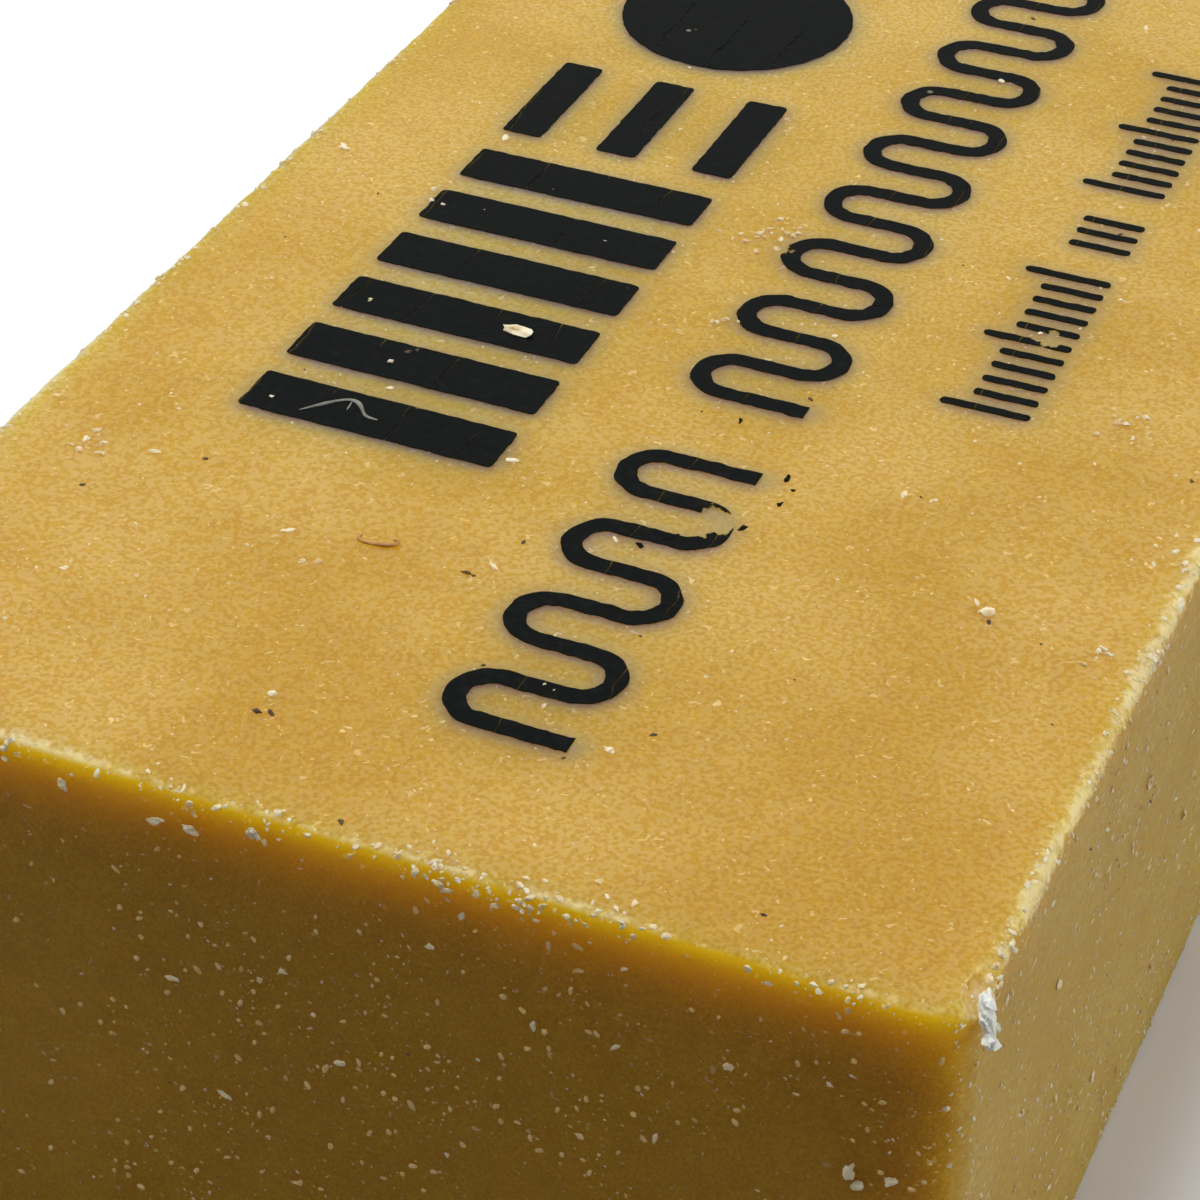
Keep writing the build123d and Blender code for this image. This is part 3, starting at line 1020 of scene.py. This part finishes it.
def makeBits():
    base = Vector((middle.x, middle.y, low.z))
    made = []
    for name, group in bitSets.items():
        work = bmesh.new()
        for i, (x, y, z, long, wide, thick, turn) in enumerate(group["bits"]):
            place = base + Vector((x, y, z)) * mm
            measures = (long * mm, wide * mm, thick * mm)
            lean = math.radians(group.get("lean", 0.0))
            addLump(work, place, measures, math.radians(turn), group["seed"] + i, lean)
        made.append(finishBits(name, work, materials[group["material"]]))
    work = bmesh.new()
    dice = np.random.default_rng(17)
    for x, y, z, count, spread in clusters:
        for i in range(count):
            place = base + (Vector((x, y, z)) + Vector(dice.normal(0, 1, 3)) * spread) * mm
            long = dice.uniform(0.07, 0.20) * mm
            addLump(work, place, (long, long * dice.uniform(0.4, 0.8), long * 0.5),
                    dice.uniform(0, math.pi), dice.uniform(0, 50))
    made.append(finishBits("crumb_clusters", work, materials["crumb"]))
    return made


threads = {  # points are across and along in mm from the middle of the top
    "tan_fibre": {"material": "fibre", "thick": 0.075 * mm, "lift": 0.03 * mm, "points": [
        (-3.52, -18.40), (-3.60, -18.52), (-3.45, -18.64), (-3.10, -18.60),
        (-2.78, -18.50), (-2.70, -18.38), (-2.76, -18.28), (-2.86, -18.30),
    ]},
    "ink_scratch": {"material": "scuff", "thick": 0.10 * mm, "lift": -0.01 * mm, "points": [
        (-6.95, -14.70), (-6.60, -14.32), (-6.30, -13.98), (-6.05, -13.86),
        (-5.82, -13.95), (-5.62, -14.22), (-5.45, -14.38), (-5.20, -14.36),
    ]},
    "scratch_spur": {"material": "scuff", "thick": 0.06 * mm, "lift": -0.01 * mm, "points": [
        (-6.05, -13.86), (-6.00, -14.10), (-5.98, -14.40),
    ]},
}


def makeThread(name, thread):
    curve = bpy.data.curves.new(name, "CURVE")
    curve.dimensions = "3D"
    curve.bevel_depth = thread["thick"] / 2
    curve.bevel_resolution = 2
    curve.use_fill_caps = True
    curve.resolution_u = 5
    spline = curve.splines.new("NURBS")
    spline.points.add(len(thread["points"]) - 1)
    spline.use_endpoint_u = True
    spline.order_u = 3
    for i, (x, y) in enumerate(thread["points"]):
        across, along = middle.x + x * mm, middle.y + y * mm
        hit = gumSurface.ray_cast(Vector((across, along, high.z + 2 * mm)), Vector((0, 0, -1)))[0]
        thin = 0.35 if i in (0, len(thread["points"]) - 1) else 1.0
        spline.points[i].co = (across, along, hit.z + thread["lift"] + 0.02 * mm, 1.0)
        spline.points[i].radius = thin * (1.0 + 0.35 * math.sin(i * 2.1))
    holder = addPiece(name + "_curve", curve)
    graph = bpy.context.evaluated_depsgraph_get()
    mesh = bpy.data.meshes.new_from_object(holder.evaluated_get(graph))
    mesh.name = name
    bpy.data.objects.remove(holder)
    mesh.materials.clear()
    mesh.materials.append(materials[thread["material"]])
    return addPiece(name, mesh)


bitPieces = makeBits() + [makeThread(name, thread) for name, thread in threads.items()]
print("bits laid:", [p.name for p in bitPieces])


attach(gumSkin, "root")
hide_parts("gum_block")
for piece in printPieces + dustPieces + bitPieces:
    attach(piece, "root")


studio = {
    "floorSide": 4.0,
    "floorPale": (1.20, 1.26, 1.35),  # what the camera sees
    "floorBounce": (0.30, 0.29, 0.27),  # what lights the block from below
    "skyLevel": 0.16,
    "shadeReach": 0.045,  # the block's shadow lies within this distance of its middle
    "whiteFrom": 0.11,
}
lamps = {  # level is how bright a white card facing the lamp turns
    "key": {"from": (-0.40, 0.08, 0.91), "over": (0.036, -0.024), "distance": 0.22,
            "side": 0.11, "level": 0.77},
    "sideFill": {"from": (0.96, 0.14, 0.17), "over": (0.0, 0.0), "distance": 0.42,
                 "side": 0.20, "level": 0.41},
}
shot = {
    "azimuth": math.radians(23.02),
    "elevation": math.radians(36.24),
    "roll": math.radians(0.73),
    "distance": 68.07 * mm,
    "aim": Vector((1.85 * mm, 8.9 * mm, 0.0)),  # from the middle of the near end's top edge
    "lens": 100.7,
}


# 1 for what the camera sees, straight or in gloss or glass, and 0 for what lights the block
def seenRays(tree):
    path = tree.nodes.new("ShaderNodeLightPath")
    mirrored = calc(tree, "MAXIMUM", path.outputs["Is Glossy Ray"], path.outputs["Is Transmission Ray"])
    return calc(tree, "MAXIMUM", path.outputs["Is Camera Ray"], mirrored)


def makeFloor(s):
    mesh = bpy.data.meshes.new("floor")
    side = s["floorSide"] / 2
    corners = [(-side, -side, 0), (side, -side, 0), (side, side, 0), (-side, side, 0)]
    mesh.from_pydata(corners, [], [(0, 1, 2, 3)])
    floor = addPiece("floor", mesh)
    floor.location.z = low.z
    material = bpy.data.materials.new("floorMaterial")
    material.use_nodes = True
    tree = material.node_tree
    tree.nodes.clear()
    output = tree.nodes.new("ShaderNodeOutputMaterial")
    seen = seenRays(tree)
    colour = mixColour(tree, seen, s["floorBounce"], s["floorPale"])
    diffuse = addNode(tree, "ShaderNodeBsdfDiffuse", {"Color": colour})
    # far from the block, where the lamps no longer reach, the camera sees plain white
    place = addNode(tree, "ShaderNodeTexCoord")
    away = addNode(tree, "ShaderNodeVectorMath", {0: place.outputs["Object"]}, operation="LENGTH")
    far = times(tree, remap(tree, away.outputs["Value"], s["shadeReach"], s["whiteFrom"]), seen)
    white = addNode(tree, "ShaderNodeEmission", {"Color": (1.0, 1.0, 1.0, 1.0), "Strength": 1.0})
    both = addNode(tree, "ShaderNodeMixShader", {0: far, 1: diffuse.outputs[0], 2: white.outputs[0]})
    link(tree, both.outputs[0], output.inputs[0])
    mesh.materials.append(material)


def makeSky(s):
    world = bpy.data.worlds.new("studio")
    bpy.context.scene.world = world
    world.use_nodes = True
    tree = world.node_tree
    tree.nodes.clear()
    output = tree.nodes.new("ShaderNodeOutputWorld")
    seen = seenRays(tree)
    strength = remap(tree, seen, 0.0, 1.0, s["skyLevel"], 1.0)
    background = addNode(tree, "ShaderNodeBackground", {
        "Color": (1.0, 1.0, 1.0, 1.0), "Strength": strength,
    })
    link(tree, background.outputs[0], output.inputs[0])


def makeLamp(name, lamp):
    data = bpy.data.lights.new(name, "AREA")
    data.shape = "SQUARE"
    data.size = lamp["side"]
    data.energy = lamp["level"] * (math.pi * lamp["distance"]) ** 2
    direction = Vector(lamp["from"]).normalized()
    thing = addPiece(name, data)
    thing.location = middle + Vector((*lamp["over"], 0.0)) + direction * lamp["distance"]
    thing.rotation_euler = direction.to_track_quat("Z", "Y").to_euler()


def makeCamera(s):
    data = bpy.data.cameras.new("camera")
    data.sensor_width = 36.0
    data.lens = s["lens"]
    data.clip_start = 0.005
    data.clip_end = 10.0
    camera = addPiece("camera", data)
    target = Vector((middle.x, low.y, high.z)) + s["aim"]
    flat = math.cos(s["elevation"])
    back = Vector((
        math.sin(s["azimuth"]) * flat, -math.cos(s["azimuth"]) * flat, math.sin(s["elevation"]),
    ))
    camera.location = target + back * s["distance"]
    camera.rotation_euler = (back.to_track_quat("Z", "Y").to_matrix()
                             @ Matrix.Rotation(s["roll"], 3, "Z")).to_euler()
    bpy.context.scene.camera = camera


makeFloor(studio)
makeSky(studio)
for lampName, lamp in lamps.items():
    makeLamp(lampName, lamp)
makeCamera(shot)
bpy.context.scene.view_settings.view_transform = "Standard"
print("studio set")
